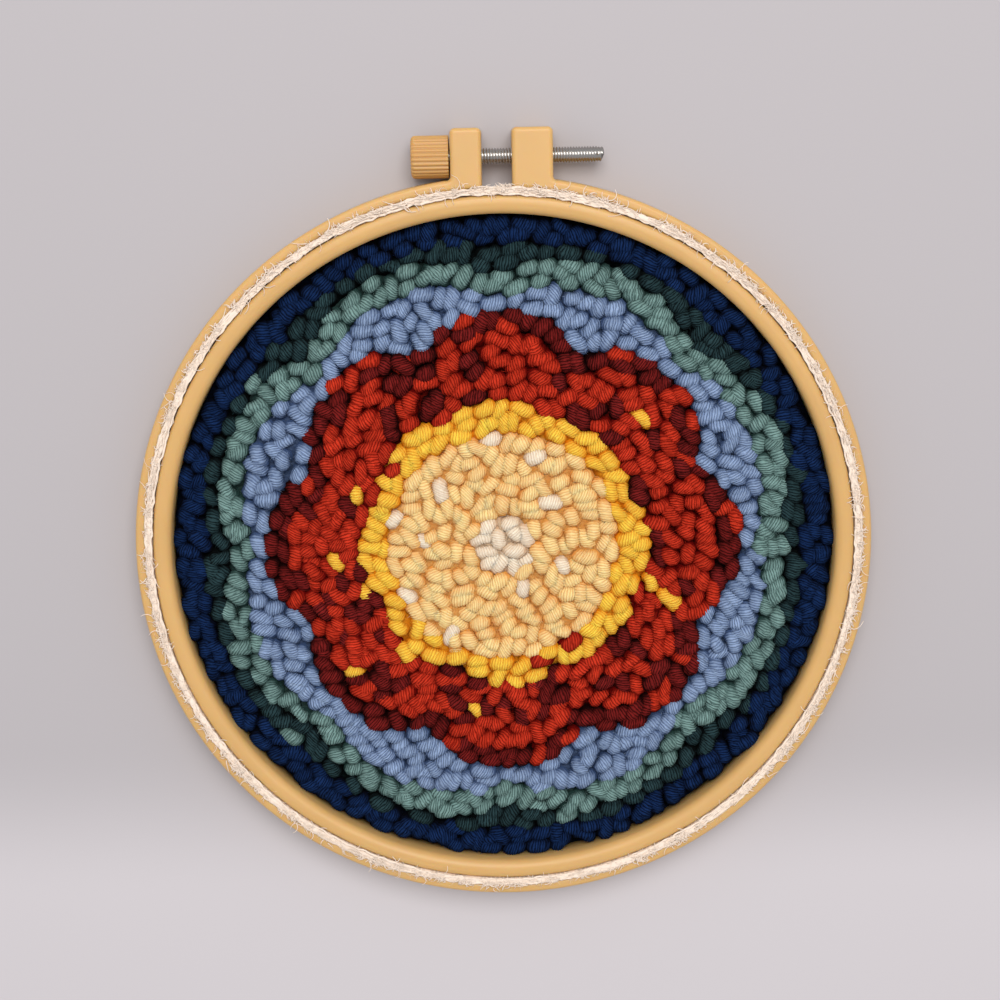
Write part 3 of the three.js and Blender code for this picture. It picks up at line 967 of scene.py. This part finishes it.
def loops_mesh(name, yarn, field, members):
    """All loops of one yarn: each rises from the cloth, arches over and goes back into it"""
    rng = draws_for("loops", name, yarn)
    amount = len(members)
    angles = np.radians(LOOP_SIDES)
    rows, sides = 2 * yarn.ridges + 3, len(angles)
    each = (amount, 1, 1)
    radius = yarn.radius * rng.uniform(1.02, 1.2, each)
    half = field.half * rng.uniform(0.55, 1.3, each)
    rise = yarn.rise + rng.normal(0, yarn.uneven, each)
    crown = 1.3 * MM * rng.uniform(0.8, 1.2, each)
    spring = PILE_FOOT + rise - radius - crown
    row = np.arange(rows)[None, :, None]
    evenly = row / (rows - 1) * 2 - 1
    along = evenly - yarn.slant * np.sin(angles) * (1 - evenly ** 4)
    bow = 1 - 2 / (rows - 1)
    arch = np.clip(along / bow, -1, 1) * QUARTER
    leg = np.clip((np.abs(along) - bow) / (1 - bow), 0, 1)
    reach = half * np.sin(arch) * (1 - 0.1 * leg)
    height = spring + crown * np.cos(arch) ** 0.75 - leg * (spring - PILE_FOOT)
    lean = rng.normal(0, 0.14, each)
    sway = rng.normal(0, 0.3 * MM, each)
    skew = rng.normal(0, 0.25 * MM, each)
    side = lean * (height - PILE_FOOT) + sway * np.sin(arch * 2) + skew * np.sin(arch)
    flow = np.stack([np.gradient(reach, axis=1), np.gradient(height, axis=1)], -1)
    flow /= np.linalg.norm(flow, axis=-1, keepdims=True)
    ways = upright_frames(field.turns[members])
    direction, across, upright = (np.expand_dims(way, -2) for way in ways)
    centres = field.places(members)[:, None] + reach[..., None] * direction + side[..., None] * across
    centres = centres + height[..., None] * upright
    outward = -flow[..., 1:2] * direction + flow[..., 0:1] * upright
    swell = 1 - 0.1 * leg + 0.05 * np.sin(along * 3 + rng.random(each) * TURN)
    lumps = rng.normal(0, 0.3, (amount, rows, sides)) + np.where(row % 2, 1, -1)
    radii = (radius * swell + yarn.ridge * lumps)[..., None]
    flatness = 0.94
    points = centres + radii * (
        np.cos(angles)[:, None] * outward * flatness + np.sin(angles)[:, None] * across)
    mesh = mesh_from_arrays(f"loops {name}", points.reshape(-1, 3), tube_faces(amount, rows, sides))
    # Painted shade: a share from nothing at each loop's top to full two millimetres down its sides,
    # which the yarn material turns into darker colour
    top = spring + crown + radius
    shade_depth = 2.0 * MM
    store(mesh, "flank", np.clip((top - points[..., 2]) / shade_depth, 0, 1) ** 1.3)
    store(mesh, "tone", np.broadcast_to(rng.random(each), points.shape[:-1]))
    map_tubes(mesh, amount, rows, sides, np.broadcast_to(row[..., 0] / 2, (amount, rows)))
    return mesh


def bed_mesh(name, yarn, field):
    """The crowd of loop legs under one yarn's loops, as deep as light gets between them, coloured mostly
    with the yarn's painted shade
    """
    columns, inner, outer = field.edges[YARNS.index(name)]
    rng = draws_for("bed", name, yarn)
    cell = 2 * MM
    overlap, under_ring = 0.3 * MM, 0.9 * MM
    lump, edge_drop, least = 0.4 * MM, 0.9 * MM, 0.3 * MM
    paleness = sum(getattr(yarn, name)) / 3
    depth = max(1.8, 4.4 - 3.7 * paleness) * MM
    low, high = PILE_FOOT + 0.2 * MM, PILE_FOOT + yarn.rise - depth
    steps = max(2, round(float((outer - inner).max()) / cell))
    around = max(48, round(TURN * float(outer.max()) / cell))
    turns = np.linspace(0, TURN, around, endpoint=False)
    near = np.maximum(np.interp(turns, columns, inner, period=TURN) - overlap, 0)
    far = np.interp(turns, columns, outer, period=TURN) + (under_ring if name == "navy" else overlap)
    shares = np.linspace(0, 1, steps + 1)[:, None]
    tops = high + rng.normal(0, lump, (steps + 1, around))
    tops[[0, steps]] -= edge_drop
    tops = np.maximum(tops, low + least)
    radii = near + (far - near) * np.concatenate([shares, shares[::-1]])
    points = around_hoop(turns, radii, np.concatenate([tops, np.full(tops.shape, low)])).reshape(-1, 3)
    quads = closed_faces(len(radii), around)[:, [0, 3, 2, 1]]
    mesh = mesh_from_arrays(f"bed {name}", points, [quads])
    # Painted shade: the bed takes mostly the yarn's shade colour
    store(mesh, "flank", rng.uniform(0.75, 1.0, len(points)))
    store(mesh, "tone", rng.random(len(points)))
    add_map(mesh, "Yarn", points[quads.ravel(), :2] / MM)
    return mesh


def stitches_mesh(name, yarn, field, members):
    """The flat stitches on the cloth's back, one under each loop"""
    rng = draws_for("stitches", name, yarn)
    amount = len(members)
    rows, sides = 5, 5
    half_length, thickness, width_share = 2.3 * MM, 0.42 * MM, 3.0
    along = np.linspace(-1, 1, rows)[None, :]
    half = half_length * rng.uniform(0.85, 1.15, (amount, 1))
    direction, across, upright = upright_frames(field.turns[members] + rng.normal(0, 0.25, amount))
    height = CLOTH_LOW.z - thickness * (1 - along ** 2)
    centres = field.places(members) + (along * half)[..., None] * direction + height[..., None] * upright
    swell = thickness * np.sqrt(np.clip(1.05 - along ** 2, 0.05, 1))
    radii = np.broadcast_to(swell[..., None], (amount, rows, sides))
    across = np.broadcast_to(across * width_share, centres.shape)
    up = np.broadcast_to(upright, centres.shape)
    points = rings_around(centres, across, up, radii)
    mesh = mesh_from_arrays(f"stitches {name}", points.reshape(-1, 3), tube_faces(amount, rows, sides))
    # A little painted shade on the back stitches
    store(mesh, "flank", np.full(amount * rows * sides, 0.1))
    store(mesh, "tone", np.broadcast_to(rng.random((amount, 1, 1)), (amount, rows, sides)))
    map_tubes(mesh, amount, rows, sides, along * half / MM)
    return mesh


class MakeHoop(bpy.types.Operator):
    """Moulds the two rings of the hoop"""
    bl_idname = "punch_needle.hoop"
    bl_label = "Hoop rings"

    def execute(self, context):
        hoop = context.scene.hoop_settings
        plastic = moulded_plastic("moulded polypropylene", hoop.plastic)
        outer = new_piece(
            "hoop_outer_ring", outer_ring_mesh(hoop), plastic, "hoop", ["outer_ring"])
        shade_evenly(outer)
        new_piece(
            "hoop_inner_ring", inner_ring_mesh(hoop), plastic, "hoop", ["inner_ring"])
        return {"FINISHED"}


class MakeClamp(bpy.types.Operator):
    """Cuts the threaded rod and moulds its knob"""
    bl_idname = "punch_needle.clamp"
    bl_label = "Clamp screw"

    def execute(self, context):
        clamp = context.scene.clamp_settings
        steel = plated_steel(clamp)
        new_piece("clamp_threaded_rod", rod_mesh(clamp), steel, "clamp_screw", ["clamp_rod"])
        plastic = moulded_plastic("moulded polypropylene, knob", clamp.plastic)
        knob = new_piece(
            "clamp_fluted_knob", knob_mesh(clamp), plastic, "clamp_screw",
            ["clamp_knob"])
        shade_evenly(knob)
        return {"FINISHED"}


class MakeCloth(bpy.types.Operator):
    """Cuts the cloth, turns it up between the rings and frays its edge"""
    bl_idname = "punch_needle.cloth"
    bl_label = "Cloth"

    def execute(self, context):
        cloth = context.scene.cloth_settings
        sheet = new_piece(
            "ground_cloth_sheet", cloth_mesh(cloth), woven_cotton(cloth), "hoop",
            ["ground_cloth"])
        wall = sheet.modifiers.new("Cloth thickness", "SOLIDIFY")
        wall.thickness = cloth.thickness
        wall.offset = 0
        fray = new_piece("ground_cloth_fray", fray_mesh(cloth), cotton_fluff(cloth), "hoop")
        return {"FINISHED"}


class MakePile(bpy.types.Operator):
    """Works the cloth with loops of yarn, with flat stitches on its back"""
    bl_idname = "punch_needle.pile"
    bl_label = "Yarn loops"

    def execute(self, context):
        yarn = context.scene.yarn_settings
        field = LoopField(yarn)
        for order, name in enumerate(YARNS):
            members = np.flatnonzero(field.yarns == order)
            material = plied_yarn(name, getattr(yarn, name), yarn)
            node = f"yarn_{name}"
            loops = loops_mesh(name, yarn, field, members)
            new_piece(f"loops_{name}", loops, material, "hoop", [node])
            fuzz = fuzz_mesh(name, yarn, loops, len(members) * yarn.hairs)
            new_piece(f"loop_fuzz_{name}", fuzz, material, "hoop")
            new_piece(f"loop_bed_{name}", bed_mesh(name, yarn, field), material, "hoop")
            stitches = stitches_mesh(name, yarn, field, members)
            new_piece(f"back_stitches_{name}", stitches, material, "hoop")
        return {"FINISHED"}


class MakeStage(bpy.types.Operator):
    """Lays the floor and sets the lights and the camera"""
    bl_idname = "punch_needle.stage"
    bl_label = "Stage"

    def execute(self, context):
        stage = context.scene.stage_settings
        floor_size, floor_drop = 6.0, 0.1 * MM
        bm = bmesh.new()
        bmesh.ops.create_grid(bm, x_segments=1, y_segments=1, size=floor_size / 2)
        bmesh.ops.translate(bm, verts=bm.verts, vec=(0, 0, -floor_drop))
        floor = add_object("floor", mesh_from(bm, "floor", smooth=False))
        floor.data.materials.append(matt_board(stage))
        self.light(stage)
        world = bpy.data.worlds.new("soft room")
        world.use_nodes = True
        background = world.node_tree.nodes["Background"]
        background.inputs["Color"].default_value = (0.97, 0.97, 1.0, 1)
        background.inputs["Strength"].default_value = stage.fill
        context.scene.world = world
        context.scene.view_settings.view_transform = "Standard"
        self.camera(context, stage)
        return {"FINISHED"}

    def light(self, stage):
        """One wide light above the far side of the hoop"""
        place = Vector((0.06, 0.52, 1.02))
        lamp = bpy.data.lights.new("key", "AREA")
        lamp.energy = stage.key_power
        lamp.size = 0.7
        lamp.color = (1.0, 0.965, 0.93)
        holder = add_object("key", lamp)
        holder.location = place
        holder.rotation_euler = place.to_track_quat("Z", "Y").to_euler()

    def camera(self, context, stage):
        lens = bpy.data.cameras.new("camera")
        lens.sensor_fit = "HORIZONTAL"
        lens.lens = lens.sensor_width * stage.hoop_width * stage.distance / (2 * HOOP_RADIUS)
        lens.clip_start = 0.01
        holder = add_object("camera", lens)
        turn = Euler((-stage.tilt, 0, 0)).to_matrix() @ Matrix.Rotation(stage.roll, 3, "Z")
        aim = Vector((stage.aim_side, HOOP_Y + stage.aim_up, RIM_HEIGHT))
        holder.location = aim + turn @ Vector((0, 0, stage.distance))
        holder.rotation_euler = turn.to_euler()
        context.scene.camera = holder


class PunchNeedlePanel(bpy.types.Panel):
    """Lists the pieces of the wall piece"""
    bl_idname = "VIEW3D_PT_punch_needle"
    bl_label = "Punch needle"
    bl_space_type = "VIEW_3D"
    bl_region_type = "UI"
    bl_category = "Punch needle"

    def draw(self, context):
        for operator in OPERATORS:
            self.layout.operator(operator.bl_idname)


SETTINGS = {
    "hoop_settings": HoopSettings,
    "clamp_settings": ClampSettings,
    "cloth_settings": ClothSettings,
    "yarn_settings": YarnSettings,
    "stage_settings": StageSettings,
}
OPERATORS = (MakeHoop, MakeClamp, MakeCloth, MakePile, MakeStage)


def register():
    for group in (*SETTINGS.values(), *OPERATORS, PunchNeedlePanel):
        bpy.utils.register_class(group)
    for name, group in SETTINGS.items():
        setattr(bpy.types.Scene, name, bpy.props.PointerProperty(type=group))


def unregister():
    for name in SETTINGS:
        delattr(bpy.types.Scene, name)
    for group in reversed((*SETTINGS.values(), *OPERATORS, PunchNeedlePanel)):
        bpy.utils.unregister_class(group)


def main():
    register()
    bpy.ops.punch_needle.hoop()
    bpy.ops.punch_needle.clamp()
    bpy.ops.punch_needle.cloth()
    bpy.ops.punch_needle.pile()
    bpy.ops.punch_needle.stage()


if __name__ == "__main__":
    main()
